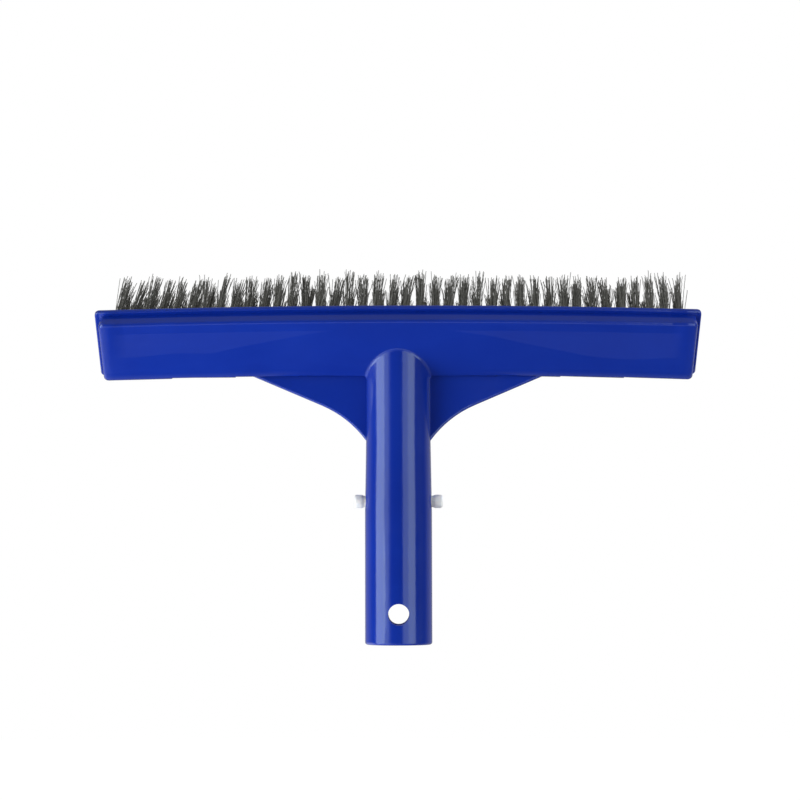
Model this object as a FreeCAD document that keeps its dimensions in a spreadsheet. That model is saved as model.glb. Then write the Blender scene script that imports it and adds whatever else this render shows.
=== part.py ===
"""Pool wall brush: a one-piece moulded head, 200 steel wire tufts, their anchors and a snap-in pole lock.

The origin is the centre of the spigot's mouth. +Z runs up the spigot's axis to the head, +X along the head,
and +Y to the side that the bristles lean to. The back plate is tilted about X, so that the bristles point up
and away at the same angle. Lengths are in millimetres and angles in degrees.
"""

import FreeCAD, Part

import math
import os
import re

import Sketcher
from FreeCAD import Placement, Rotation, Vector

SIZES = {
    # the back plate: a wide rim that carries the bristles, and a raised field on its back
    "tilt": 45.0,
    "head_length": 254.0,
    "rim_width": 34.6,
    "rim_depth": 2.1,
    "field_margin": 1.93,
    "field_depth": 6.1,
    "bow_radius": 3432.0,
    "corner_radius": 2.0,
    "rim_edge_radius": 0.6,
    "field_edge_radius": 1.2,
    # where the plate stands: the spigot's axis meets the back of the field at spigot_reach above the mouth,
    # and the plate's middle line lies plate_offset further up the plate
    "spigot_reach": 110.1,
    "plate_offset": 19.5,
    # the spigot, a tapered tube that fits inside a telescopic pole
    "spigot_radius": 14.2,
    "neck_radius": 13.7,
    "taper_start": 56.0,
    "taper_end": 86.0,
    "spigot_top": 132.0,
    "mouth_radius": 1.1,
    "arch_radius": 1.5,
    "bore_radius": 11.9,
    "bore_top_radius": 11.5,
    "bore_depth": 103.0,
    "lock_height": 60.4,
    "lock_hole_radius": 3.2,
    "bolt_height": 12.8,
    "bolt_hole_radius": 4.45,
    # the two webs that brace the spigot against the plate's lower edge
    "web_thickness": 3.0,
    "web_slope": 23.1,
    "web_bend_x": 32.5,
    "web_bend_height": 101.2,
    "web_bend_radius": 45.0,
    "web_root_x": 12.6,
    "web_top": 117.8,
    "web_edge_radius": 0.9,
    # tufts and their anchors
    "row_count": 5.0,
    "row_pitch": 6.0,
    "tuft_count": 40.0,
    "tuft_pitch": 6.07,
    "tuft_hole_radius": 1.6,
    "tuft_hole_depth": 6.0,
    "tuft_base_radius": 1.54,
    "tuft_tip_radius": 2.6,
    "bristle_length": 25.4,
    "anchor_length": 3.1,
    "anchor_rise": 1.6,
    "anchor_thickness": 0.4,
    "anchor_floor": 0.9,
    "anchor_clearance": 0.03,
    # the pole lock: a V-shaped leaf spring with a pin staked through each arm
    "leaf_thickness": 0.6,
    "leaf_width": 8.0,
    "leaf_half_span": 9.4,
    "leaf_straight_top": 67.0,
    "leaf_bottom": 54.0,
    "leaf_apex": 98.0,
    "leaf_apex_radius": 3.0,
    "leaf_bend_radius": 6.0,
    "leaf_hole_radius": 1.75,
    "leaf_corner_radius": 2.5,
    "leaf_gap": 0.02,
    "pin_neck_radius": 2.45,
    "pin_neck_end": 14.6,
    "pin_flare_end": 15.6,
    "pin_radius": 2.85,
    "pin_reach": 18.7,
    "pin_end_radius": 1.0,
    "pin_stem_radius": 1.7,
    "collar_radius": 4.1,
    "collar_thickness": 1.1,
    "stake_radius": 2.6,
    "stake_thickness": 1.0,
    "stake_edge_radius": 0.6,
}

# how closely an edge has to lie to a place to count as there, and the shortest edge of any outline
CLOSE = 0.01
SHORTEST = 5.0
# depths from the back of the field towards the bristles
RIM_BACK = "field_depth"
BRISTLE_FACE = "field_depth + rim_depth"
# lengths that cut right through the spigot, the spring and a tuft from the middle
THROUGH_SPIGOT = "4 * spigot_radius"
THROUGH_SPRING = "4 * leaf_half_span"
THROUGH_TUFT = "4 * tuft_base_radius"
# half of the angle that a row of tufts spans about the centre of the bow
HALF_FAN = "(tuft_count - 1) / 2 * tuft_pitch / bow_radius * 180 / pi"

doc = FreeCAD.newDocument("pool_wall_brush")
sheet = doc.addObject("Spreadsheet::Sheet", "Sizes")
for line, (word, number) in enumerate(SIZES.items(), start=1):
    sheet.set(f"A{line}", word)
    sheet.set(f"B{line}", str(number))
    sheet.setAlias(f"B{line}", word)
doc.recompute()


def tied(text):
    """The expression text, with every driving dimension in it read from the sheet."""
    return re.sub(r"[a-z]\w+", lambda word: f"Sizes.{word[0]}" if word[0] in SIZES else word[0], text)


def value(text):
    """What the expression text comes to."""
    return float(sheet.evalExpression(tied(text)))


def bind(feature, name, text):
    """Tie a property or a named constraint of the feature to the sheet."""
    feature.setExpression(name, tied(text))


def new_body(label):
    """A body, which becomes one node."""
    body = doc.addObject("PartDesign::Body", label)
    body.Label = label
    body.AllowCompound = True
    return body


def origin_of(body, role):
    """One of the body's own origin planes or axes."""
    return next(item for item in body.Origin.OriginFeatures if item.Role == role)


def new_sketch(body, role, name, **shift):
    """A sketch on one of the body's origin planes, shifted along that plane's own axes."""
    sketch = body.newObject("Sketcher::SketchObject", name)
    sketch.AttachmentSupport = [(origin_of(body, role), "")]
    sketch.MapMode = "FlatFace"
    for axis, text in shift.items():
        bind(sketch, f"AttachmentOffset.Base.{axis}", text)
    return sketch


def plate_sketch(body, name, depth, down="0"):
    """A sketch parallel to the back plate, whose X runs along the head and Y down the plate.

    Its origin is at a depth from the back of the field, and at a distance down the plate, both from the point
    where the spigot's axis meets the back of the field.
    """
    sketch = new_sketch(body, "XY_Plane", name)
    sketch.AttachmentOffset = Placement(Vector(), Rotation(Vector(1, 0, 0), -value("tilt")))
    bind(sketch, "AttachmentOffset.Base.y", f"({depth}) * sin(tilt) + ({down}) * cos(tilt)")
    bind(sketch, "AttachmentOffset.Base.z", f"spigot_reach + ({depth}) * cos(tilt) - ({down}) * sin(tilt)")
    return sketch


def limit(sketch, kind, places, text, name):
    """A dimension in a sketch, tied to the sheet. A dimension of nothing is fixed at zero."""
    index = sketch.addConstraint(Sketcher.Constraint(kind, *places, value(text)))
    sketch.renameConstraint(index, name)
    if text != "0":
        bind(sketch, f"Constraints.{name}", text)


def polygon(sketch, corners):
    """A closed outline of straight lines. Each corner is a pair of expressions, fixed from the origin."""
    first = sketch.GeometryCount
    ends = [Vector(value(x), value(y), 0) for x, y in corners]
    count = len(corners)
    for index in range(count):
        sketch.addGeometry(Part.LineSegment(ends[index], ends[(index + 1) % count]))
    for index, (x, y) in enumerate(corners):
        after = first + (index + 1) % count
        sketch.addConstraint(Sketcher.Constraint("Coincident", first + index, 2, after, 1))
        limit(sketch, "DistanceX", (-1, 1, first + index, 1), x, f"x{first + index}")
        limit(sketch, "DistanceY", (-1, 1, first + index, 1), y, f"y{first + index}")


def rectangle(sketch, low_x, high_x, low_y, high_y):
    """A closed rectangle between four expressions."""
    polygon(sketch, [(low_x, low_y), (high_x, low_y), (high_x, high_y), (low_x, high_y)])


def circle(sketch, radius, x, y):
    """A circle whose radius and centre are expressions."""
    centre = Vector(value(x), value(y), 0)
    index = sketch.addGeometry(Part.Circle(centre, Vector(0, 0, 1), value(radius)))
    limit(sketch, "Radius", (index,), radius, "radius")
    limit(sketch, "DistanceX", (-1, 1, index, 3), x, "centre_x")
    limit(sketch, "DistanceY", (-1, 1, index, 3), y, "centre_y")


def bowed_outline(sketch, margin):
    """The plate's outline, inset by a margin: straight ends, and long sides that share one gentle bow."""
    length = f"head_length - 2 * ({margin})"
    width = f"rim_width - 2 * ({margin})"
    upper_centre = f"bow_radius - plate_offset - ({width}) / 2"
    radius = value("bow_radius")
    half = math.asin(value(length) / 2 / radius)
    span = -math.pi / 2 - half, -math.pi / 2 + half
    up = Vector(0, 0, 1)
    upper = Part.Circle(Vector(0, value(upper_centre), 0), up, radius)
    lower = Part.Circle(Vector(0, value(upper_centre) + value(width), 0), up, radius)
    upper_arc = Part.ArcOfCircle(upper, *span)
    lower_arc = Part.ArcOfCircle(lower, *span)
    sketch.addGeometry(upper_arc)
    sketch.addGeometry(Part.LineSegment(upper_arc.EndPoint, lower_arc.EndPoint))
    sketch.addGeometry(lower_arc)
    sketch.addGeometry(Part.LineSegment(lower_arc.StartPoint, upper_arc.StartPoint))
    for joined in ((0, 2, 1, 1), (1, 2, 2, 2), (2, 1, 3, 1), (3, 2, 0, 1)):
        sketch.addConstraint(Sketcher.Constraint("Coincident", *joined))
    sketch.addConstraint(Sketcher.Constraint("Vertical", 1))
    sketch.addConstraint(Sketcher.Constraint("Vertical", 3))
    sketch.addConstraint(Sketcher.Constraint("Symmetric", 0, 1, 0, 2, -2))
    sketch.addConstraint(Sketcher.Constraint("PointOnObject", 2, 3, -2))
    sketch.addConstraint(Sketcher.Constraint("Equal", 0, 2))
    limit(sketch, "Radius", (0,), "bow_radius", "bow")
    limit(sketch, "DistanceX", (0, 1, 0, 2), length, "length")
    limit(sketch, "DistanceY", (1, 1, 1, 2), width, "width")
    limit(sketch, "DistanceY", (-1, 1, 0, 3), upper_centre, "centre")


def pad(body, name, sketch, length, middle=False, reverse=False):
    """A pad of a tied length, from the sketch or about it."""
    feature = body.newObject("PartDesign::Pad", name)
    feature.Profile = sketch
    feature.Midplane = middle
    feature.Reversed = reverse
    bind(feature, "Length", length)
    return feature


def pocket(body, name, sketch, length=None, middle=False, reverse=False):
    """A pocket of a tied length, or through everything where no length is given."""
    feature = body.newObject("PartDesign::Pocket", name)
    feature.Profile = sketch
    feature.Midplane = middle
    feature.Reversed = reverse
    if length is None:
        feature.Type = "ThroughAll"
    else:
        bind(feature, "Length", length)
    return feature


def turned(body, kind, name, sketch, axis):
    """A full Revolution or Groove of a sketch about one of its own axes."""
    feature = body.newObject(f"PartDesign::{kind}", name)
    feature.Profile = sketch
    feature.ReferenceAxis = (sketch, [axis])
    feature.Angle = 360
    return feature


def round_edges(body, name, radius, chosen):
    """A fillet on the edges of the body so far for which chosen(edge) is true."""
    doc.recompute()
    base = body.Tip
    names = [f"Edge{n}" for n, edge in enumerate(base.Shape.Edges, start=1) if chosen(edge)]
    fillet = body.newObject("PartDesign::Fillet", name)
    fillet.Base = (base, names)
    bind(fillet, "Radius", radius)
    return fillet


def fan(body, name, originals, axis, tip=True):
    """The originals repeated along a row of tufts, about the centre of the bow."""
    pattern = body.newObject("PartDesign::PolarPattern", name)
    pattern.Originals = originals
    pattern.Axis = axis
    bind(pattern, "Angle", f"2 * {HALF_FAN}")
    bind(pattern, "Occurrences", "tuft_count")
    if tip:
        body.Tip = pattern
    return pattern


def plate_depth(point):
    """How far a point lies from the back of the field, towards the bristles."""
    tilt = math.radians(value("tilt"))
    return point.y * math.sin(tilt) + (point.z - value("spigot_reach")) * math.cos(tilt)


def lies_at(edge, depth):
    """Whether all of an edge lies at one depth of the plate."""
    points = edge.discretize(5)
    return all(abs(plate_depth(point) - value(depth)) < CLOSE for point in points)


def across_plate(edge):
    """Whether an edge runs straight from the back towards the bristles."""
    first, last = edge.Vertexes[0].Point, edge.Vertexes[-1].Point
    return edge.Length > CLOSE and abs(abs(plate_depth(last) - plate_depth(first)) - edge.Length) < CLOSE


def make_plate(body):
    """The rim and the raised field on its back, with rounded corners and edges."""
    rim = plate_sketch(body, "rim_outline", RIM_BACK)
    bowed_outline(rim, "0")
    pad(body, "rim", rim, "rim_depth")
    field = plate_sketch(body, "field_outline", "0")
    bowed_outline(field, "field_margin")
    pad(body, "field", field, "field_depth")
    round_edges(body, "plate_corners", "corner_radius", across_plate)
    half_field = value("head_length / 2 - field_margin")

    def on_rim(edge):
        beyond_field = max(edge.BoundBox.XMax, -edge.BoundBox.XMin) > half_field + CLOSE
        return lies_at(edge, BRISTLE_FACE) or (lies_at(edge, RIM_BACK) and beyond_field)

    round_edges(body, "rim_edges", "rim_edge_radius", on_rim)
    round_edges(body, "field_edges", "field_edge_radius", lambda edge: lies_at(edge, "0"))


def make_spigot(body):
    """The solid spigot, cut off level with the bristles' face, and the fillet where it leaves the field."""
    profile = new_sketch(body, "XZ_Plane", "spigot_profile")
    corners = [
        ("0", "0"),
        ("spigot_radius", "0"),
        ("spigot_radius", "taper_start"),
        ("neck_radius", "taper_end"),
        ("neck_radius", "spigot_top"),
        ("0", "spigot_top"),
    ]
    polygon(profile, corners)
    turned(body, "Revolution", "spigot", profile, "V_Axis")
    level = plate_sketch(body, "bristle_face_level", BRISTLE_FACE)
    rectangle(level, "-spigot_top", "spigot_top", "-spigot_top", "spigot_top")
    pocket(body, "bristle_face", level, "spigot_top", reverse=True)
    widest = value("spigot_radius")

    def on_arch(edge):
        box = edge.BoundBox
        return lies_at(edge, "0") and box.ZLength > SHORTEST and max(-box.XMin, box.XMax) < widest

    round_edges(body, "arch_edge", "arch_radius", on_arch)


def make_webs(body):
    """The two webs: a straight lower edge that bends down into the spigot."""
    outline = new_sketch(body, "XZ_Plane", "web_outline")
    slope = math.radians(value("web_slope"))
    bend = Vector(value("web_bend_x"), value("web_bend_height"), 0)
    radius = value("web_bend_radius")
    centre = bend + Vector(math.sin(slope), -math.cos(slope), 0) * radius
    root_x, top = value("web_root_x"), value("web_top")
    root = Vector(root_x, centre.y + math.sqrt(radius**2 - (centre.x - root_x) ** 2), 0)
    tip = Vector(bend.x + (top - bend.y) / math.tan(slope), top, 0)
    root_angle = math.atan2(root.y - centre.y, root.x - centre.x)
    arc = Part.ArcOfCircle(Part.Circle(centre, Vector(0, 0, 1), radius), math.pi / 2 + slope, root_angle)
    corner = Vector(root_x, top, 0)
    outline.addGeometry(Part.LineSegment(tip, bend))
    outline.addGeometry(arc)
    outline.addGeometry(Part.LineSegment(root, corner))
    outline.addGeometry(Part.LineSegment(corner, tip))
    outline.addConstraint(Sketcher.Constraint("Tangent", 0, 2, 1, 1))
    for joined in ((1, 2, 2, 1), (2, 2, 3, 1), (3, 2, 0, 1)):
        outline.addConstraint(Sketcher.Constraint("Coincident", *joined))
    outline.addConstraint(Sketcher.Constraint("Vertical", 2))
    outline.addConstraint(Sketcher.Constraint("Horizontal", 3))
    limit(outline, "DistanceX", (-1, 1, 0, 2), "web_bend_x", "bend_x")
    limit(outline, "DistanceY", (-1, 1, 0, 2), "web_bend_height", "bend_height")
    limit(outline, "DistanceX", (-1, 1, 2, 1), "web_root_x", "root_x")
    limit(outline, "DistanceY", (-1, 1, 3, 1), "web_top", "top")
    limit(outline, "Radius", (1,), "web_bend_radius", "bend_radius")
    slope_index = outline.addConstraint(Sketcher.Constraint("Angle", -1, 1, 0, 2, slope))
    outline.renameConstraint(slope_index, "slope")
    web = pad(body, "web", outline, "web_thickness", middle=True)
    mirror = body.newObject("PartDesign::Mirrored", "both_webs")
    mirror.Originals = [web]
    mirror.MirrorPlane = (origin_of(body, "YZ_Plane"), [""])
    body.Tip = mirror


def make_bore(body):
    """The blind bore of the spigot, the two holes for the lock's pins and the bolt hole across the mouth."""
    profile = new_sketch(body, "XZ_Plane", "bore_profile")
    polygon(
        profile,
        [("0", "0"), ("bore_radius", "0"), ("bore_top_radius", "bore_depth"), ("0", "bore_depth")],
    )
    turned(body, "Groove", "bore", profile, "V_Axis")
    lock = new_sketch(body, "YZ_Plane", "lock_hole_outline")
    circle(lock, "lock_hole_radius", "0", "lock_height")
    pocket(body, "lock_holes", lock, THROUGH_SPIGOT, middle=True)
    bolt = new_sketch(body, "XZ_Plane", "bolt_hole_outline")
    circle(bolt, "bolt_hole_radius", "0", "bolt_height")
    pocket(body, "bolt_hole", bolt, THROUGH_SPIGOT, middle=True)


def soften_spigot(body):
    """Fillets round the spigot's mouth and along the webs' lower edges."""
    mouth = value("spigot_radius")
    half_web = value("web_thickness") / 2

    def at_mouth(edge):
        box = edge.BoundBox
        return box.ZMax < CLOSE and box.XMax > mouth - CLOSE

    def on_web(edge):
        points = edge.discretize(5)
        level = all(abs(abs(point.y) - half_web) < CLOSE for point in points)
        return level and min(edge.BoundBox.XLength, edge.BoundBox.ZLength) > SHORTEST

    round_edges(body, "mouth_edge", "mouth_radius", at_mouth)
    round_edges(body, "web_edges", "web_edge_radius", on_web)


def make_tuft_holes(body):
    """A blind hole for each tuft, drilled square to the plate."""
    top_row = "bow_radius - plate_offset - (row_count - 1) / 2 * row_pitch"
    first = plate_sketch(body, "first_tuft_hole", BRISTLE_FACE, top_row)
    circle(first, "tuft_hole_radius", f"-bow_radius * sin({HALF_FAN})", f"-bow_radius * cos({HALF_FAN})")
    hole = pocket(body, "tuft_hole", first, "tuft_hole_depth")
    every = body.newObject("PartDesign::MultiTransform", "tuft_holes")
    every.Originals = [hole]
    along = fan(body, "along_a_row", [], (first, ["N_Axis"]), tip=False)
    across = body.newObject("PartDesign::LinearPattern", "across_the_rows")
    across.Direction = (first, ["V_Axis"])
    bind(across, "Length", "(row_count - 1) * row_pitch")
    bind(across, "Occurrences", "row_count")
    every.Transformations = [along, across]
    body.Tip = every


def make_head():
    """The moulded head."""
    body = new_body("brush_head")
    make_plate(body)
    make_spigot(body)
    make_webs(body)
    make_bore(body)
    soften_spigot(body)
    make_tuft_holes(body)
    return body


def row_body(label, row):
    """A body for one piece of each tuft of a row, made at the row's middle and fanned out along it.

    Its own origin is the centre of the row's bow, level with the face that carries the bristles. Its Z points
    along the bristles, and it is turned so that the fan, which starts at the first tuft, ends up centred.
    """
    body = new_body(label)
    tilt = math.radians(value("tilt"))
    depth = value(BRISTLE_FACE)
    down = value(f"bow_radius - plate_offset + ({row} - (row_count - 1) / 2) * row_pitch")
    centre = Vector(0, math.sin(tilt), math.cos(tilt)) * depth + Vector(0, math.cos(tilt), -math.sin(tilt)) * down
    centre.z += value("spigot_reach")
    leaning = Rotation(Vector(1, 0, 0), -value("tilt"))
    first = Rotation(Vector(0, 0, 1), -value(HALF_FAN))
    body.Placement = Placement(centre, leaning * first)
    return body


def make_tuft_row(row):
    """A row of tufts: each is held in its hole, folded round its anchor, and spreads out to its tip."""
    body = row_body(f"tuft_row_{row + 1}", row)
    profile = new_sketch(body, "YZ_Plane", "tuft_profile", x="-bow_radius")
    corners = [
        ("0", "-tuft_hole_depth"),
        ("tuft_base_radius", "-tuft_hole_depth"),
        ("tuft_base_radius", "0"),
        ("tuft_tip_radius", "bristle_length"),
        ("0", "bristle_length"),
    ]
    polygon(profile, corners)
    tuft = turned(body, "Revolution", "tuft", profile, "V_Axis")
    slot = new_sketch(body, "YZ_Plane", "anchor_slot_outline", x="-bow_radius")
    half = "(anchor_thickness / 2 + anchor_clearance)"
    floor = "anchor_floor - tuft_hole_depth"
    rectangle(slot, f"-{half}", half, f"{floor} - anchor_clearance", f"{floor} + anchor_rise + anchor_clearance")
    anchor_slot = pocket(body, "anchor_slot", slot, THROUGH_TUFT, middle=True)
    fan(body, "row", [tuft, anchor_slot], (origin_of(body, "Z_Axis"), [""]))
    return body


def make_anchor_row(row):
    """A row of anchors: a short piece of flat wire across the bottom of each tuft's hole."""
    body = row_body(f"anchor_row_{row + 1}", row)
    section = new_sketch(body, "YZ_Plane", "anchor_section", x="-bow_radius")
    floor = "anchor_floor - tuft_hole_depth"
    rectangle(section, "-anchor_thickness / 2", "anchor_thickness / 2", floor, f"{floor} + anchor_rise")
    anchor = pad(body, "anchor", section, "anchor_length", middle=True)
    fan(body, "row", [anchor], (origin_of(body, "Z_Axis"), [""]))
    return body


def leaf_path(sketch):
    """The spring's middle line: a straight arm on each side, a bend, a slope and a round apex."""
    span, bend = value("leaf_half_span"), value("leaf_bend_radius")
    level, apex_radius = value("leaf_straight_top"), value("leaf_apex_radius")
    apex = value("leaf_apex") - apex_radius
    bend_x = span - bend
    reach = math.hypot(bend_x, apex - level)
    lean = math.atan2(apex - level, bend_x) - math.acos((apex_radius - bend) / reach)
    up = Vector(0, 0, 1)
    middle = Part.ArcOfCircle(Part.Circle(Vector(0, apex, 0), up, apex_radius), lean, math.pi - lean)
    arms = []
    for side in (1, -1):
        turn = (0, lean) if side == 1 else (math.pi - lean, math.pi)
        bent = Part.ArcOfCircle(Part.Circle(Vector(side * bend_x, level, 0), up, bend), *turn)
        outer, inner = bent.StartPoint, bent.EndPoint
        top = middle.StartPoint
        if side == -1:
            outer, inner = inner, outer
            top = middle.EndPoint
        foot = Vector(side * span, value("leaf_bottom"), 0)
        arms.append((Part.LineSegment(foot, outer), bent, Part.LineSegment(inner, top)))
    right, left = arms
    for piece in (*right, middle, left[2], left[1], left[0]):
        sketch.addGeometry(piece)
    joints = ((0, 2, 1, 1), (1, 2, 2, 1), (2, 2, 3, 1), (3, 2, 4, 2), (4, 1, 5, 1), (5, 2, 6, 2))
    for joined in joints:
        sketch.addConstraint(Sketcher.Constraint("Tangent", *joined))
    sketch.addConstraint(Sketcher.Constraint("Vertical", 0))
    sketch.addConstraint(Sketcher.Constraint("Symmetric", 0, 1, 6, 1, -2))
    sketch.addConstraint(Sketcher.Constraint("Symmetric", 0, 2, 6, 2, -2))
    sketch.addConstraint(Sketcher.Constraint("PointOnObject", 3, 3, -2))
    sketch.addConstraint(Sketcher.Constraint("Equal", 1, 5))
    limit(sketch, "DistanceX", (-1, 1, 0, 1), "leaf_half_span", "half_span")
    limit(sketch, "DistanceY", (-1, 1, 0, 1), "leaf_bottom", "bottom")
    limit(sketch, "DistanceY", (-1, 1, 0, 2), "leaf_straight_top", "straight_top")
    limit(sketch, "DistanceY", (-1, 1, 3, 3), "leaf_apex - leaf_apex_radius", "apex")
    limit(sketch, "Radius", (1,), "leaf_bend_radius", "bend_radius")
    limit(sketch, "Radius", (3,), "leaf_apex_radius", "apex_radius")


def make_spring():
    """The V-shaped leaf spring, its apex towards the head, with a hole for a pin's stem in each arm."""
    body = new_body("lock_spring")
    path = new_sketch(body, "XZ_Plane", "leaf_path")
    leaf_path(path)
    section = new_sketch(body, "XY_Plane", "leaf_section", z="leaf_bottom")
    half = "leaf_thickness / 2"
    rectangle(
        section, f"leaf_half_span - {half}", f"leaf_half_span + {half}", "-leaf_width / 2", "leaf_width / 2"
    )
    leaf = body.newObject("PartDesign::AdditivePipe", "leaf")
    leaf.Profile = section
    leaf.Spine = (path, [])
    holes = new_sketch(body, "YZ_Plane", "stem_holes_outline")
    circle(holes, "leaf_hole_radius", "0", "lock_height")
    pocket(body, "stem_holes", holes, THROUGH_SPRING, middle=True)
    thickness = value("leaf_thickness")

    def tip_corner(edge):
        box = edge.BoundBox
        return abs(box.XLength - thickness) < CLOSE and box.ZMax < value("leaf_bottom") + CLOSE

    round_edges(body, "tip_corners", "leaf_corner_radius", tip_corner)
    return body


def make_pin(label, side):
    """One pin of the lock: a stake inside the arm, a collar outside it, a neck through the wall and a head."""
    body = new_body(label)
    profile = new_sketch(body, "XZ_Plane", "pin_profile")
    arm_inside = "leaf_half_span - leaf_thickness / 2 - leaf_gap"
    arm_outside = "leaf_half_span + leaf_thickness / 2 + leaf_gap"
    collar_face = f"{arm_outside} + collar_thickness"
    stake_face = f"{arm_inside} - stake_thickness"
    corners = [
        (stake_face, "0"),
        (stake_face, "stake_radius"),
        (arm_inside, "stake_radius"),
        (arm_inside, "pin_stem_radius"),
        (arm_outside, "pin_stem_radius"),
        (arm_outside, "collar_radius"),
        (collar_face, "collar_radius"),
        (collar_face, "pin_neck_radius"),
        ("pin_neck_end", "pin_neck_radius"),
        ("pin_flare_end", "pin_radius"),
        ("pin_reach", "pin_radius"),
        ("pin_reach", "0"),
    ]
    polygon(profile, corners)
    turned(body, "Revolution", "pin", profile, "H_Axis")
    reach, stake = value("pin_reach"), value(stake_face)
    round_edges(body, "outer_end", "pin_end_radius", lambda edge: edge.BoundBox.XMin > reach - CLOSE)
    round_edges(body, "stake_edge", "stake_edge_radius", lambda edge: edge.BoundBox.XMax < stake + CLOSE)
    turn = Rotation(Vector(0, 0, 1), 0 if side > 0 else 180)
    body.Placement = Placement(Vector(0, 0, value("lock_height")), turn)
    return body


def make_parts():
    """Every piece of the brush."""
    rows = range(int(value("row_count")))
    yield make_head()
    for row in rows:
        yield make_tuft_row(row)
    for row in rows:
        yield make_anchor_row(row)
    yield make_spring()
    yield make_pin("pin_right", 1)
    yield make_pin("pin_left", -1)


parts = list(make_parts())
doc.recompute()

for item in doc.Objects:
    if {"Invalid", "Error"} & set(item.State):
        raise RuntimeError(f"{item.Name} didn't compute: {item.State}")
for body in parts:
    if body.Shape.isNull() or not body.Shape.isValid():
        raise RuntimeError(f"{body.Label} has no valid shape")

os.makedirs("parts", exist_ok=True)
for body in parts:
    body.Shape.exportStep(f"parts/{body.Label}.step")
    print(body.Label, len(body.Shape.Solids), "solids,", round(body.Shape.Volume, 2), "mm3")
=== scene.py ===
"""Pool wall brush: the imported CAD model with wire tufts, a sprung pole lock and moulded plastic."""

import math

import bmesh
import bpy
import numpy as np
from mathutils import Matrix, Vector


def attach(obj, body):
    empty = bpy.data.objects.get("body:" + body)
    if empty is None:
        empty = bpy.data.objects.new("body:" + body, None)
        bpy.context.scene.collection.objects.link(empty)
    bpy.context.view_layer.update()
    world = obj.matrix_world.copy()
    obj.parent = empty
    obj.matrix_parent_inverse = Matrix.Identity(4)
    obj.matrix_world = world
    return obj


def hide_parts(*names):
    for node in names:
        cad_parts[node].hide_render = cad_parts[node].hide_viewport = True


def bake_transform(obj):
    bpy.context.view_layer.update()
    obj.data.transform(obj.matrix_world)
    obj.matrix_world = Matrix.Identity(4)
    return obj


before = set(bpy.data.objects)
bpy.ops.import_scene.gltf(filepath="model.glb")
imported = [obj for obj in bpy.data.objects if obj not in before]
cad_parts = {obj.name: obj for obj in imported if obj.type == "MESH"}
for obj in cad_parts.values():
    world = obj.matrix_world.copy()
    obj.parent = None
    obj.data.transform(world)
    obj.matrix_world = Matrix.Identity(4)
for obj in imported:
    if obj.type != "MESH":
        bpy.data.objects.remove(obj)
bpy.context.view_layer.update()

MM = 0.001
FULL_TURN = 2 * math.pi
SEED = 20261
rng = np.random.default_rng(SEED)

# Lengths are in millimetres, down to the lock spring, and in metres after it.
# The back plate: its tilt, how far above the spigot's mouth the axis meets the back of the
# field, and the directions down the plate and out of its bristle side.
TILT = math.radians(45.0)
SPIGOT_REACH = 110.1
DOWN_PLATE = np.array([0.0, math.cos(TILT), -math.sin(TILT)])
OUT_OF_PLATE = np.array([0.0, math.sin(TILT), math.cos(TILT)])
ALONG_HEAD = np.array([1.0, 0, 0])
BRISTLE_FACE = 8.2
PLATE_OFFSET = 19.5
BOW_RADIUS = 3432.0
HEAD_HALF_LENGTH = 127.0
FIELD_HALF_WIDTH = 15.37
FIELD_HALF_LENGTH = 125.07

# the tufts
ROWS = 5
ROW_PITCH = 6.0
TUFTS = 40
TUFT_PITCH = 6.07
BRISTLE_LENGTH = 25.4

# the wires of a tuft, which stand in a few clumps, and the mesh of a wire
WIRES = 30
CLUMPS = 5
TOTAL = TUFTS * WIRES
WIRE_RADIUS = 0.15
BUNDLE_RADIUS = 1.32
BUNDLE_SCATTER = 0.12
STEPS = 24
SIDES = 3
# the share of a wire that is drawn below the bristle face
ROOT = 0.16

# How the wires stand. A slope is sideways travel for each millimetre of length, along the head
# and down the plate. SPREAD is how much wider a tuft is at its tip.
LEAN = 0.035
LEAN_AT_END = 0.115
LEAN_POWER = 2.2
SPREAD = 0.56
SPREAD_POWER = 1.2
MOST_SLOPE = (0.25, 0.12)
STRAYS = 0.045
# the scatter of those for a tuft, a clump, a wire and a stray
TUFT_SPREAD = 0.15
TUFT_SLOPE = (0.022, 0.03)
CLUMP_SLOPE = 0.036
WIRE_SLOPE = 0.011
STRAY_SLOPE = 0.10
CLUMP_BEND = 0.016
WIRE_BEND = 0.010

# lengths: how far the mean is below the full one, the scatter for a wire, a clump and a tuft,
# and how far below and above the full length a wire can end
CUT = 0.9
WIRE_CUT = 0.9
CLUMP_CUT = 0.8
TUFT_CUT = 0.5
MOST_BELOW = 6.5
MOST_ABOVE = 0.2

# the crimp: its wavelength, its height, and the length over which it sets in
CRIMP_WAVE = (3.4, 4.6)
CRIMP_HEIGHT = (0.05, 0.13)
CRIMP_START = 2.0

# the lock spring
LEAF_HALF_SPAN = 9.4
LEAF_BOTTOM = 54.0
LEAF_STRAIGHT_TOP = 67.0
LEAF_APEX = 98.0
LEAF_APEX_RADIUS = 3.0
LEAF_BEND_RADIUS = 6.0
LEAF_THICKNESS = 0.6
LEAF_WIDTH = 8.0
LEAF_CORNER_RADIUS = 2.5
LEAF_SOFT_EDGE = 0.12
LOCK_HEIGHT = 60.4
STEM_HOLE_RADIUS = 1.76
# the points along the parts of half a spring, and the angle above which an edge is sharp
APEX_POINTS = 12
SLOPE_POINTS = 26
BEND_POINTS = 10
FOOT_POINTS = 27
SHARP_EDGE = math.radians(35)
CUTTER_SEGMENTS = 48
CUTTER_DEPTH = 6.0

# The relief of the moulding's material, which is bump and not geometry. The margins roll off
# towards the ends and the lower edge, there only away from the spigot: the roll grows from
# nothing at LOW_ROLL_FROM beside the middle to its full drop at LOW_ROLL_FULL.
LOW_ROLL_WIDTH, LOW_ROLL_DROP = 0.0050, 0.00105
LOW_ROLL_FROM, LOW_ROLL_FULL = 0.0145, 0.0500
END_ROLL_WIDTH, END_ROLL_DROP = 0.0042, 0.00042
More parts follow.
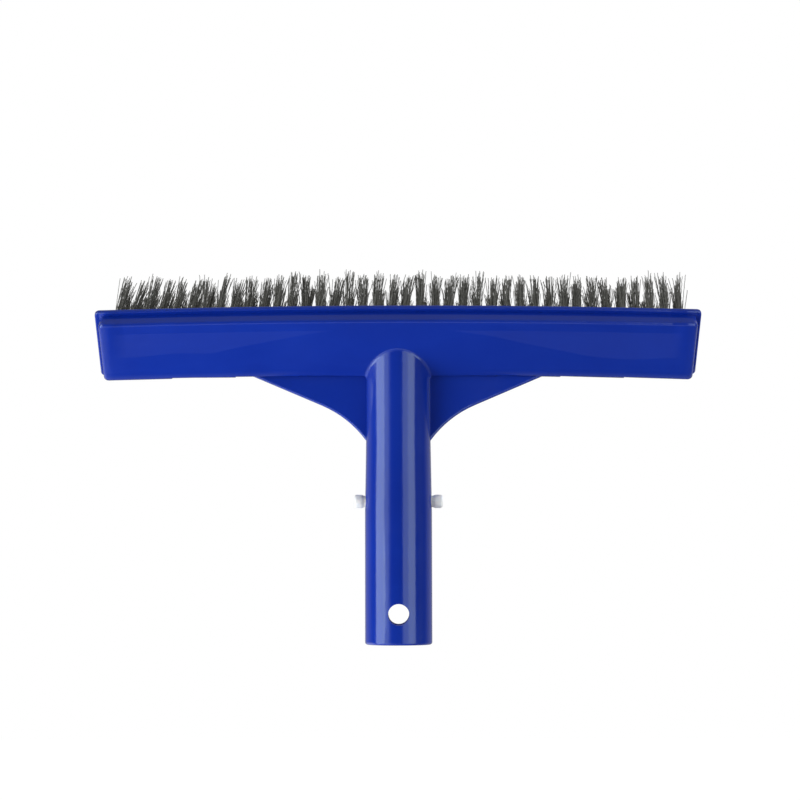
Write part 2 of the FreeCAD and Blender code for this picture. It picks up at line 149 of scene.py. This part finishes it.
# a shallow sink below the upper edge, which widens away from the middle and fades at the ends
SINK_MARGIN = 0.0053
SINK_WIDENS = (0.022, 0.078)
SINK_WIDTH = (-0.0005, 0.0120)
SINK_RIPPLE = 0.0028
SINK_SLOPE = 0.055
SINK_FADE = (0.0040, 0.0110)

# The soft panels around the brush: azimuth in degrees, then height, distance, width and tall in
# metres, the radiance, and whether the panel lights rough surfaces, shows in glossy ones, or both.
# Azimuth 0 is on the camera's side, and it grows towards +X.
LIGHTS, MIRRORED = "lights", "mirrored"
BOTH = LIGHTS + MIRRORED
PANELS = (
    ("left_box", -67, 0.10, 1.0, 0.58, 1.5, 4.4, MIRRORED),
    ("left_fill", -58, 0.10, 1.0, 0.50, 1.0, 3.3, LIGHTS),
    ("left_glow", -44, 0.10, 1.1, 0.36, 1.5, 1.75, BOTH),
    ("left_fade", -32, 0.10, 1.1, 0.16, 1.5, 0.62, BOTH),
    ("right_box", 47, 0.10, 1.0, 0.44, 1.5, 2.8, MIRRORED),
    ("right_glow", 25, 0.10, 1.1, 0.40, 1.5, 1.75, MIRRORED),
    ("right_fill", 80, 0.26, 0.7, 0.3, 0.8, 4.0, LIGHTS),
    ("front_fill", 42, 0.12, 1.0, 0.5, 0.5, 2.2, LIGHTS),
    ("back_fill", 160, 0.40, 1.1, 1.2, 0.8, 1.4, LIGHTS),
    ("low_box", -10, -0.72, 0.62, 1.2, 0.20, 1.2, BOTH),
    ("low_fill", -75, -0.26, 0.38, 0.34, 0.34, 4.8, LIGHTS),
)
PANEL_COLOUR = (0.95, 1.0, 1.03)
AIM = (0, 0, 0.08)

FLOOR_SIZE = 14.0
FLOOR_HEIGHT = -1.1
FLOOR_GLOW = 0.83

SENSOR = 36.0
LENS = 101.84
CLIP = (0.05, 60.0)
CAMERA_PLACE = (0.0006, -0.9604, 0.0330)
CAMERA_PITCH = 4.2
CAMERA_ROLL = 0.12


# ---------------------------------------------------------------- mesh helpers


def mesh_object(name, points, quads, caps, tone=None):
    """An object from arrays of points in millimetres, quads and closing polygons."""
    mesh = bpy.data.meshes.new(name)
    loops = quads.reshape(-1)
    starts = np.arange(len(quads)) * 4
    starts = np.concatenate([starts, len(loops) + np.arange(len(caps)) * caps.shape[1]])
    loops = np.concatenate([loops, caps.reshape(-1)])
    mesh.vertices.add(len(points))
    mesh.vertices.foreach_set("co", (points * MM).astype(np.float32).reshape(-1))
    mesh.loops.add(len(loops))
    mesh.loops.foreach_set("vertex_index", loops.astype(np.int32))
    mesh.polygons.add(len(starts))
    mesh.polygons.foreach_set("loop_start", starts.astype(np.int32))
    mesh.update(calc_edges=True)
    mesh.polygons.foreach_set("use_smooth", np.ones(len(starts), dtype=bool))
    if tone is not None:
        layer = mesh.attributes.new("tone", "FLOAT", "POINT")
        layer.data.foreach_set("value", tone.astype(np.float32))
    mesh.validate()
    made = bpy.data.objects.new(name, mesh)
    bpy.context.collection.objects.link(made)
    return made


def tube_faces(count, rings, sides):
    """The quads and the end caps of a number of tubes, each of the same rings of points."""
    ring, side = np.meshgrid(np.arange(rings - 1), np.arange(sides), indexing="ij")
    here, above = ring * sides, (ring + 1) * sides
    after = (side + 1) % sides
    one = np.stack([here + side, here + after, above + after, above + side], axis=-1)
    offsets = np.arange(count)[:, None, None] * rings * sides
    quads = (one.reshape(-1, 4)[None] + offsets).reshape(-1, 4)
    first = np.arange(sides)[::-1]
    last = (rings - 1) * sides + np.arange(sides)
    caps = (np.stack([first, last])[None] + offsets).reshape(-1, sides)
    return quads, caps


# ---------------------------------------------------------------- the wire tufts


def tuft_middles(row):
    """Where the tufts of a row stand: along the head, and down the plate."""
    down_centre = BOW_RADIUS - PLATE_OFFSET + (row - (ROWS - 1) / 2) * ROW_PITCH
    turn = (np.arange(TUFTS) - (TUFTS - 1) / 2) * TUFT_PITCH / BOW_RADIUS
    return BOW_RADIUS * np.sin(turn), down_centre - BOW_RADIUS * np.cos(turn)


def tuft_lean(across):
    """The mean slope of the tufts along the head, which grows towards its first end."""
    return LEAN + LEAN_AT_END * max(0.0, -across) ** LEAN_POWER


def wire_feet():
    """The foot of each wire about the middle of its tuft, in a sunflower's pattern."""
    order = np.tile(np.arange(WIRES), TUFTS)
    golden = math.pi * (3 - math.sqrt(5))
    phase = np.repeat(rng.uniform(0, FULL_TURN, TUFTS), WIRES)
    reach = BUNDLE_RADIUS * np.sqrt((order + 0.5) / WIRES)
    angle = order * golden + phase + rng.normal(0, BUNDLE_SCATTER, TOTAL)
    return np.stack([reach * np.cos(angle), reach * np.sin(angle)], axis=1)


def wire_stance(tuft, middle_x):
    """The spread, slope, bend and length of each wire, drawn for its tuft, its clump and itself."""
    spread = np.repeat(rng.normal(SPREAD, TUFT_SPREAD, TUFTS), WIRES)[:, None]
    lean = np.stack([rng.normal(0, scatter, TUFTS) for scatter in TUFT_SLOPE], axis=1)
    lean = np.repeat(lean, WIRES, axis=0)
    lean[:, 0] += np.array([tuft_lean(x) for x in middle_x / HEAD_HALF_LENGTH])[tuft]
    clump = tuft * CLUMPS + rng.integers(0, CLUMPS, TOTAL)
    own = rng.normal(0, CLUMP_SLOPE, (TUFTS * CLUMPS, 2))[clump]
    own += rng.normal(0, WIRE_SLOPE, (TOTAL, 2))
    stray = rng.random(TOTAL) < STRAYS
    own[stray] += rng.normal(0, STRAY_SLOPE, (int(stray.sum()), 2))
    most = np.array(MOST_SLOPE)
    slope = np.clip(lean + own, -most, most)
    bend = rng.normal(0, CLUMP_BEND, (TUFTS * CLUMPS, 2))[clump]
    bend += rng.normal(0, WIRE_BEND, (TOTAL, 2))

    length = BRISTLE_LENGTH - CUT + rng.normal(0, WIRE_CUT, TOTAL)
    length += rng.normal(0, CLUMP_CUT, TUFTS * CLUMPS)[clump] + rng.normal(0, TUFT_CUT, TUFTS)[tuft]
    length = np.clip(length, BRISTLE_LENGTH - MOST_BELOW, BRISTLE_LENGTH + MOST_ABOVE)
    return spread, slope, bend, length


def wire_crimp(free):
    """The sideways waves of each wire, along the head and down the plate."""
    wave = rng.uniform(*CRIMP_WAVE, TOTAL)[:, None]
    start = rng.uniform(0, FULL_TURN, TOTAL)[:, None]
    plane = rng.uniform(0, FULL_TURN, TOTAL)[:, None]
    height = rng.uniform(*CRIMP_HEIGHT, TOTAL)[:, None] * np.clip(free / CRIMP_START, 0, 1)
    crimp = height * np.sin(FULL_TURN * free / wave + start)
    return np.stack([crimp * np.cos(plane), crimp * np.sin(plane)], axis=-1)


def wires_of_row(row):
    """The points of every wire in a row, as tubes, and a shade for each."""
    middle_x, middle_down = tuft_middles(row)
    tuft = np.repeat(np.arange(TUFTS), WIRES)
    base = wire_feet()
    spread, slope, bend, length = wire_stance(tuft, middle_x)

    share = np.concatenate([[-ROOT], np.linspace(0.0, 1.0, STEPS)])
    along = share[None, :] * length[:, None]
    free = np.clip(along, 0, None)
    rise = free / BRISTLE_LENGTH
    offset = base[:, None, :] * (1 + spread[:, None, :] * rise[..., None] ** SPREAD_POWER)
    offset = offset + slope[:, None, :] * free[..., None]
    offset = offset + bend[:, None, :] * (free**2 / BRISTLE_LENGTH)[..., None]
    offset = offset + wire_crimp(free)

    centre = np.zeros((TOTAL, len(share), 3))
    centre[..., 0] = middle_x[tuft][:, None] + offset[..., 0]
    down = middle_down[tuft][:, None] + offset[..., 1]
    depth = BRISTLE_FACE + along
    centre += down[..., None] * DOWN_PLATE + depth[..., None] * OUT_OF_PLATE
    centre[..., 2] += SPIGOT_REACH

    corner = np.arange(SIDES) * 2 * math.pi / SIDES
    twist = rng.uniform(0, FULL_TURN, TOTAL)[:, None] + corner[None, :]
    ring = np.cos(twist)[..., None] * ALONG_HEAD + np.sin(twist)[..., None] * DOWN_PLATE
    points = centre[:, :, None, :] + WIRE_RADIUS * ring[:, None, :, :]
    tone = np.repeat(rng.random(TOTAL), len(share) * SIDES)
    return points.reshape(-1, 3), len(share), tone


def make_tufts(material):
    """Five rows of crimped wire tufts in the place of the solid ones."""
    for row in range(ROWS):
        points, rings, tone = wires_of_row(row)
        quads, caps = tube_faces(TOTAL, rings, SIDES)
        tufts = mesh_object(f"wire_row_{row + 1}", points, quads, caps, tone)
        tufts.data.materials.append(material)
        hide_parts(f"tuft_row_{row + 1}")
        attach(tufts, "head")


# ---------------------------------------------------------------- materials


class Nodes:
    """A small builder for a node material."""

    def __init__(self, name):
        self.material = bpy.data.materials.new(name)
        self.material.use_nodes = True
        self.tree = self.material.node_tree
        self.tree.nodes.clear()
        self.output = self.add("ShaderNodeOutputMaterial")
        self.shader = self.add("ShaderNodeBsdfPrincipled")
        self.link(self.shader.outputs["BSDF"], self.output.inputs["Surface"])
        self.place = self.add("ShaderNodeTexCoord").outputs["Object"]

    def add(self, kind, **settings):
        node = self.tree.nodes.new(kind)
        for name, setting in settings.items():
            setattr(node, name, setting)
        return node

    def link(self, source, target):
        self.tree.links.new(source, target)

    def feed(self, source, target):
        """Link a socket, or set a constant."""
        if isinstance(source, bpy.types.NodeSocket):
            self.link(source, target)
        else:
            target.default_value = source

    def scaled(self, x, y, z, turn=(0.0, 0.0, 0.0)):
        """The place on the object, turned and stretched."""
        node = self.add("ShaderNodeMapping")
        self.link(self.place, node.inputs["Vector"])
        node.inputs["Scale"].default_value = (x, y, z)
        node.inputs["Rotation"].default_value = turn
        return node.outputs["Vector"]

    def noise(self, scale, detail=3.0, roughness=0.55, where=None, distortion=0.0):
        node = self.add("ShaderNodeTexNoise")
        self.link(where or self.place, node.inputs["Vector"])
        node.inputs["Scale"].default_value = scale
        node.inputs["Detail"].default_value = detail
        node.inputs["Roughness"].default_value = roughness
        node.inputs["Distortion"].default_value = distortion
        return node.outputs["Fac"]

    def cells(self, scale):
        node = self.add("ShaderNodeTexVoronoi", feature="F1")
        self.link(self.place, node.inputs["Vector"])
        node.inputs["Scale"].default_value = scale
        return node.outputs["Distance"]

    def span(self, source, low, high, to_low=0.0, to_high=1.0, smooth=False):
        """A range of the source mapped onto another, clamped."""
        node = self.add("ShaderNodeMapRange", clamp=True)
        if smooth:
            node.interpolation_type = "SMOOTHSTEP"
        self.link(source, node.inputs["Value"])
        node.inputs["From Min"].default_value = low
        node.inputs["From Max"].default_value = high
        node.inputs["To Min"].default_value = to_low
        node.inputs["To Max"].default_value = to_high
        return node.outputs["Result"]

    def math(self, operation, first, second=0.0):
        node = self.add("ShaderNodeMath", operation=operation)
        self.feed(first, node.inputs[0])
        self.feed(second, node.inputs[1])
        return node.outputs["Value"]

    def times(self, first, second):
        return self.math("MULTIPLY", first, second)

    def plus(self, first, second):
        return self.math("ADD", first, second)

    def minus(self, first, second):
        return self.math("SUBTRACT", first, second)

    def blend(self, share, first, second):
        """A mix of two colours."""
        node = self.add("ShaderNodeMix", data_type="RGBA")
        self.feed(share, node.inputs["Factor"])
        self.feed(first, node.inputs["A"])
        self.feed(second, node.inputs["B"])
        return node.outputs["Result"]

    def parts(self, vector):
        node = self.add("ShaderNodeSeparateXYZ")
        self.link(vector, node.inputs["Vector"])
        return node.outputs

    def bump(self, height, strength, distance, under=None):
        node = self.add("ShaderNodeBump")
        self.link(height, node.inputs["Height"])
        node.inputs["Strength"].default_value = strength
        node.inputs["Distance"].default_value = distance
        if under is not None:
            self.link(under, node.inputs["Normal"])
        return node.outputs["Normal"]

    def set(self, name, source):
        self.feed(source, self.shader.inputs[name])


def moulded_relief(n):
    """The height of the moulding's margins and sink over the plate, in metres."""
    x, y, z = n.parts(n.place)
    beside = n.math("ABSOLUTE", x)
    down = n.minus(n.times(y, math.cos(TILT)), n.times(z, math.sin(TILT)))
    down = n.plus(down, SPIGOT_REACH * MM * math.sin(TILT))
    bow = n.times(n.times(x, x), 0.5 / (BOW_RADIUS * MM))
    middle = n.plus(n.minus(down, bow), PLATE_OFFSET * MM)
    to_lower = n.minus(FIELD_HALF_WIDTH * MM, middle)
    to_end = n.minus(FIELD_HALF_LENGTH * MM, beside)

    low_roll = n.span(to_lower, 0.0, LOW_ROLL_WIDTH, 1.0, 0.0)
    low_roll = n.times(n.times(low_roll, low_roll), -LOW_ROLL_DROP)
    away = n.span(beside, LOW_ROLL_FROM, LOW_ROLL_FULL, smooth=True)
    end_roll = n.span(to_end, 0.0, END_ROLL_WIDTH, 1.0, 0.0)
    end_roll = n.times(n.times(end_roll, end_roll), -END_ROLL_DROP)
    rolled = n.plus(n.times(low_roll, away), end_roll)

    ripple = n.noise(17.0, detail=1.5, roughness=0.5, where=n.scaled(1.0, 0.2, 0.2))
    ripple = n.span(ripple, 0.25, 0.75, -SINK_RIPPLE, SINK_RIPPLE)
    sink_top = -FIELD_HALF_WIDTH * MM + SINK_MARGIN
    sink_end = n.span(beside, *SINK_WIDENS, *(sink_top + width for width in SINK_WIDTH))
    sink_end = n.plus(sink_end, ripple)
    inside = n.math("MINIMUM", n.math("MAXIMUM", middle, sink_top), sink_end)
    sink_slope = n.span(to_end, *SINK_FADE, 0.0, SINK_SLOPE, smooth=True)
    return n.plus(rolled, n.times(n.minus(inside, sink_end), sink_slope))


def moulded_plastic():
    """Glossy blue plastic: faint flow and sink marks, fine scuffs, and a little dust."""
    n = Nodes("moulded_blue")
    cloud = n.span(n.noise(22.0, detail=4.0), 0.3, 0.7)
    tint = n.blend(cloud, (0.0031, 0.0208, 0.258, 1), (0.0041, 0.0258, 0.296, 1))
    flow = n.noise(9.0, detail=5.0, roughness=0.6, where=n.scaled(1.0, 6.0, 6.0), distortion=0.8)
    flow = n.span(flow, 0.52, 0.72, 0.0, 0.35)
    tint = n.blend(flow, tint, (0.0056, 0.0295, 0.318, 1))
    specks = n.span(n.cells(900.0), 0.055, 0.02, 0.0, 0.55)
    some = n.span(n.noise(260.0, detail=2.0), 0.60, 0.66)
    n.set("Base Color", n.blend(n.times(specks, some), tint, (0.10, 0.14, 0.42, 1)))

    along_scuffs = n.scaled(0.12, 1.0, 1.0, turn=(0.0, 0.0, 0.35))
    scuff = n.noise(140.0, detail=6.0, roughness=0.7, where=along_scuffs)
    scuff = n.span(scuff, 0.60, 0.72, 0.0, 0.10)
    wear = n.span(n.noise(34.0, detail=5.0, roughness=0.65), 0.35, 0.75, 0.115, 0.20)
    n.set("Roughness", n.plus(wear, scuff))
    n.set("IOR", 1.49)
    n.set("Specular Tint", (0.86, 1.0, 0.97, 1))

    peel = n.bump(n.noise(420.0, detail=2.0, roughness=0.4), strength=0.05, distance=0.0004)
    n.set("Normal", n.bump(moulded_relief(n), strength=1.0, distance=1.0, under=peel))
    return n.material


def crimped_wire():
    """Dark drawn wire whose shade differs from wire to wire."""
    n = Nodes("crimped_wire")
    tone = n.add("ShaderNodeAttribute", attribute_name="tone").outputs["Fac"]
    stain = n.span(n.noise(900.0), 0.35, 0.65)
    shade = n.blend(tone, (0.085, 0.083, 0.073, 1), (0.350, 0.345, 0.315, 1))
    n.set("Base Color", n.blend(n.times(stain, 0.4), shade, (0.36, 0.36, 0.34, 1)))
    n.set("Metallic", 0.85)
    n.set("Roughness", n.span(n.noise(1500.0, detail=2.0), 0.3, 0.7, 0.32, 0.55))
    return n.material


def flat_wire():
    """Bright flat wire with drawing lines along it."""
    n = Nodes("flat_wire")
    lines = n.noise(600.0, roughness=0.6, where=n.scaled(0.05, 1.0, 1.0))
    tint = n.blend(n.span(lines, 0.35, 0.65), (0.36, 0.36, 0.35, 1), (0.52, 0.52, 0.50, 1))
    n.set("Base Color", tint)
    n.set("Metallic", 1.0)
    n.set("Roughness", n.span(lines, 0.3, 0.7, 0.25, 0.42))
    n.set("Normal", n.bump(lines, strength=0.2, distance=0.00005))
    return n.material


def spring_steel():
    """Rolled stainless strip with a fine grain along its length."""
    n = Nodes("rolled_strip")
    grain = n.noise(900.0, detail=4.0, roughness=0.6, where=n.scaled(1.0, 1.0, 0.04))
    stain = n.span(n.noise(120.0), 0.4, 0.75)
    tint = n.blend(n.span(grain, 0.35, 0.65), (0.48, 0.48, 0.47, 1), (0.64, 0.64, 0.62, 1))
    n.set("Base Color", n.blend(n.times(stain, 0.35), tint, (0.40, 0.35, 0.28, 1)))
    n.set("Metallic", 1.0)
    n.set("Roughness", n.span(grain, 0.3, 0.7, 0.22, 0.38))
    n.set("Normal", n.bump(grain, strength=0.15, distance=0.00004))
    return n.material


def natural_nylon():
    """Milky translucent nylon, cloudy, with painted shade: a little darker on the -X side and lighter
    on the +X side.
    """
    n = Nodes("natural_nylon")
    cloud = n.span(n.noise(220.0), 0.3, 0.7, -0.15, 0.15)
    # painted shade and light: the -X pin is made darker and the +X pin lighter, standing in for how
    # the light falls on each
    painted_side_shade = n.span(n.parts(n.place)[0], -0.012, 0.012, 0.15, 0.85)
    tint = n.blend(n.plus(cloud, painted_side_shade), (0.70, 0.685, 0.665, 1), (0.97, 0.95, 0.92, 1))
    n.set("Base Color", tint)
    n.set("Subsurface Weight", 0.8)
    n.set("Subsurface Radius", (0.0030, 0.0032, 0.0034))
    n.set("Subsurface Scale", 1.0)
    n.set("Roughness", n.span(n.noise(700.0, detail=2.0), 0.3, 0.7, 0.45, 0.58))
    n.set("IOR", 1.53)
    n.set("Specular IOR Level", 0.22)
    n.set("Normal", n.bump(n.noise(1800.0, detail=2.0), strength=0.12, distance=0.00005))
    return n.material


def give(node, material):
    """A material for every slot of a CAD node."""
    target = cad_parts[node]
    if not target.material_slots:
        target.data.materials.append(material)
    for slot in target.material_slots:
        slot.material = material


# ---------------------------------------------------------------- the lock spring


def direction(angle):
    return np.array([math.cos(angle), math.sin(angle)])


def leaf_path():
    """Points and normals down one half of the spring's middle line, from its apex to its foot."""
    apex = np.array([0.0, LEAF_APEX - LEAF_APEX_RADIUS])
    bend = np.array([LEAF_HALF_SPAN - LEAF_BEND_RADIUS, LEAF_STRAIGHT_TOP])
    reach = math.hypot(bend[0], apex[1] - bend[1])
    lean = math.atan2(apex[1] - bend[1], bend[0])
    lean -= math.acos((LEAF_APEX_RADIUS - LEAF_BEND_RADIUS) / reach)
    path = []
    for angle in np.linspace(math.pi / 2, lean, APEX_POINTS):
        path.append((apex + LEAF_APEX_RADIUS * direction(angle), direction(angle)))
    first = apex + LEAF_APEX_RADIUS * direction(lean)
    last = bend + LEAF_BEND_RADIUS * direction(lean)
    for share in np.linspace(0, 1, SLOPE_POINTS)[1:-1]:
        path.append((first + (last - first) * share, direction(lean)))
    for angle in np.linspace(lean, 0.0, BEND_POINTS):
        path.append((bend + LEAF_BEND_RADIUS * direction(angle), direction(angle)))
    for height in np.linspace(LEAF_STRAIGHT_TOP, LEAF_BOTTOM, FOOT_POINTS)[1:]:
        path.append((np.array([LEAF_HALF_SPAN, height]), np.array([1.0, 0.0])))
    return path


def leaf_section(height):
    """The strip's outline at a height: across it and out of it, narrower at the rounded foot."""
    half = LEAF_WIDTH / 2
    above_foot = height - LEAF_BOTTOM
    if above_foot < LEAF_CORNER_RADIUS:
        inset = LEAF_CORNER_RADIUS - above_foot
        half -= LEAF_CORNER_RADIUS - math.sqrt(max(0.0, LEAF_CORNER_RADIUS**2 - inset**2))
    out = LEAF_THICKNESS / 2
    soft_half, soft_out = half - LEAF_SOFT_EDGE, out - LEAF_SOFT_EDGE
    return [
        (-soft_half, out),
        (soft_half, out),
        (half, soft_out),
        (half, -soft_out),
        (soft_half, -out),
        (-soft_half, -out),
        (-half, -soft_out),
        (-half, soft_out),
    ]


def make_leaf(side, material):
    """One half of the spring, drilled for its pin's stem."""
    points = []
    for centre, normal in leaf_path():
        section = leaf_section(centre[1])
        for across, out in section:
            spot = centre + normal * out
            points.append((side * spot[0], across, spot[1]))
    quads, caps = tube_faces(1, len(points) // len(section), len(section))
    if side < 0:
        quads, caps = quads[:, ::-1], caps[:, ::-1]
    name = f"spring_half_{'right' if side > 0 else 'left'}"
    leaf = mesh_object(name, np.array(points), quads, caps)
    drill(leaf, side)
    leaf.data.materials.append(material)
    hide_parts("lock_spring")
    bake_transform(leaf)


def drill(leaf, side):
    """The hole for the pin's stem."""
    cutter_mesh = bpy.data.meshes.new("cutter")
    shape = bmesh.new()
    radius = STEM_HOLE_RADIUS * MM
    size = {"radius1": radius, "radius2": radius, "depth": CUTTER_DEPTH * MM}
    bmesh.ops.create_cone(shape, cap_ends=True, segments=CUTTER_SEGMENTS, **size)
    shape.to_mesh(cutter_mesh)
    shape.free()
    cutter = bpy.data.objects.new("cutter", cutter_mesh)
    bpy.context.collection.objects.link(cutter)
    cutter.rotation_euler = (0, math.pi / 2, 0)
    cutter.location = (side * LEAF_HALF_SPAN * MM, 0, LOCK_HEIGHT * MM)
    cut = leaf.modifiers.new("hole", "BOOLEAN")
    cut.object = cutter
    cut.solver = "EXACT"
    bpy.context.view_layer.update()
    seen = leaf.evaluated_get(bpy.context.evaluated_depsgraph_get())
    made = bpy.data.meshes.new_from_object(seen)
    leaf.modifiers.clear()
    leaf.data = made
    made.set_sharp_from_angle(angle=SHARP_EDGE)
    bpy.data.objects.remove(cutter)


# ---------------------------------------------------------------- stage, light and camera


def make_stage():
    """A pale glowing floor well below the brush, which hangs free of it."""
    mesh = bpy.data.meshes.new("floor")
    shape = bmesh.new()
    bmesh.ops.create_grid(shape, x_segments=1, y_segments=1, size=FLOOR_SIZE)
    shape.to_mesh(mesh)
    shape.free()
    floor = bpy.data.objects.new("floor", mesh)
    floor.location = (0, 0, FLOOR_HEIGHT)
    bpy.context.collection.objects.link(floor)
    n = Nodes("pale_floor")
    n.set("Base Color", (0.5, 0.5, 0.5, 1))
    n.set("Roughness", 0.9)
    n.set("Emission Color", (1, 1, 1, 1))
    n.set("Emission Strength", FLOOR_GLOW)
    mesh.materials.append(n.material)
    floor.visible_glossy = False
    floor.visible_diffuse = False


def make_panel(name, azimuth, height, distance, width, tall, radiance, use):
    """A soft panel that faces the brush and isn't seen by the camera itself."""
    data = bpy.data.lights.new(name, "AREA")
    data.shape = "RECTANGLE"
    data.size, data.size_y = width, tall
    data.energy = radiance * math.pi * width * tall
    data.color = PANEL_COLOUR
    panel = bpy.data.objects.new(name, data)
    turn = math.radians(azimuth)
    panel.location = (distance * math.sin(turn), -distance * math.cos(turn), height)
    panel.rotation_euler = (Vector(AIM) - panel.location).to_track_quat("-Z", "Y").to_euler()
    panel.visible_camera = False
    panel.visible_glossy = MIRRORED in use
    panel.visible_diffuse = LIGHTS in use
    bpy.context.collection.objects.link(panel)


def make_surroundings():
    """White to the camera, and to all other rays a dark room with a pale backdrop and tables."""
    world = bpy.data.worlds.new("surroundings")
    bpy.context.scene.world = world
    world.use_nodes = True
    tree = world.node_tree
    tree.nodes.clear()

    def node(kind, **inputs):
        made = tree.nodes.new(kind)
        for name, setting in inputs.items():
            made.inputs[name.replace("_", " ")].default_value = setting
        return made

    def ramp(source, low, high, bottom, top):
        """A smooth rise from bottom to top, while the ray's direction goes from low to high."""
        made = node("ShaderNodeMapRange", From_Min=low, From_Max=high, To_Min=bottom, To_Max=top)
        made.interpolation_type = "SMOOTHSTEP"
        tree.links.new(source, made.inputs["Value"])
        return made.outputs["Result"]

    def combine(operation, first, second):
        made = node("ShaderNodeMath")
        made.operation = operation
        tree.links.new(first, made.inputs[0])
        tree.links.new(second, made.inputs[1])
        return made.outputs["Value"]

    output = node("ShaderNodeOutputWorld")
    mix = node("ShaderNodeMixShader")
    white = node("ShaderNodeBackground", Color=(1, 1, 1, 1))
    room = node("ShaderNodeBackground", Color=(1, 1, 1, 1))
    rays = node("ShaderNodeLightPath")
    where = node("ShaderNodeTexCoord")
    split = node("ShaderNodeSeparateXYZ")
    tree.links.new(where.outputs["Generated"], split.inputs["Vector"])
    x, y, z = split.outputs

    total = combine("ADD", ramp(y, 0.10, 0.62, 0.07, 0.44), ramp(z, 0.10, 0.90, 0.0, 0.28))
    below = ramp(z, -0.08, -0.38, 0.0, 1.0)
    left_table = ramp(x, -0.08, -0.50, 0.0, 0.9)
    right_table = ramp(x, 0.08, 0.50, 0.0, 0.20)
    near_table = ramp(y, -0.13, -0.16, 0.0, 0.20)
    for table in (left_table, right_table, near_table):
        total = combine("ADD", total, combine("MULTIPLY", below, table))
    tree.links.new(total, room.inputs["Strength"])
    tree.links.new(rays.outputs["Is Camera Ray"], mix.inputs["Fac"])
    tree.links.new(room.outputs["Background"], mix.inputs[1])
    tree.links.new(white.outputs["Background"], mix.inputs[2])
    tree.links.new(mix.outputs["Shader"], output.inputs["Surface"])


def make_camera():
    """A long lens a metre in front, just above the spigot's mouth, looking slightly up."""
    data = bpy.data.cameras.new("camera")
    data.sensor_width = SENSOR
    data.lens = LENS
    data.clip_start, data.clip_end = CLIP
    camera = bpy.data.objects.new("camera", data)
    camera.location = CAMERA_PLACE
    camera.rotation_euler = (math.radians(90 + CAMERA_PITCH), math.radians(CAMERA_ROLL), 0)
    bpy.context.collection.objects.link(camera)
    bpy.context.scene.camera = camera
    bpy.context.scene.view_settings.view_transform = "Standard"
    bpy.context.scene.view_settings.look = "None"


def main():
    make_camera()
    for panel in PANELS:
        make_panel(*panel)
    make_surroundings()
    make_stage()
    give("brush_head", moulded_plastic())
    make_tufts(crimped_wire())
    anchor = flat_wire()
    for row in range(ROWS):
        give(f"anchor_row_{row + 1}", anchor)
    strip = spring_steel()
    make_leaf(1, strip)
    make_leaf(-1, strip)
    nylon = natural_nylon()
    give("pin_right", nylon)
    give("pin_left", nylon)


main()
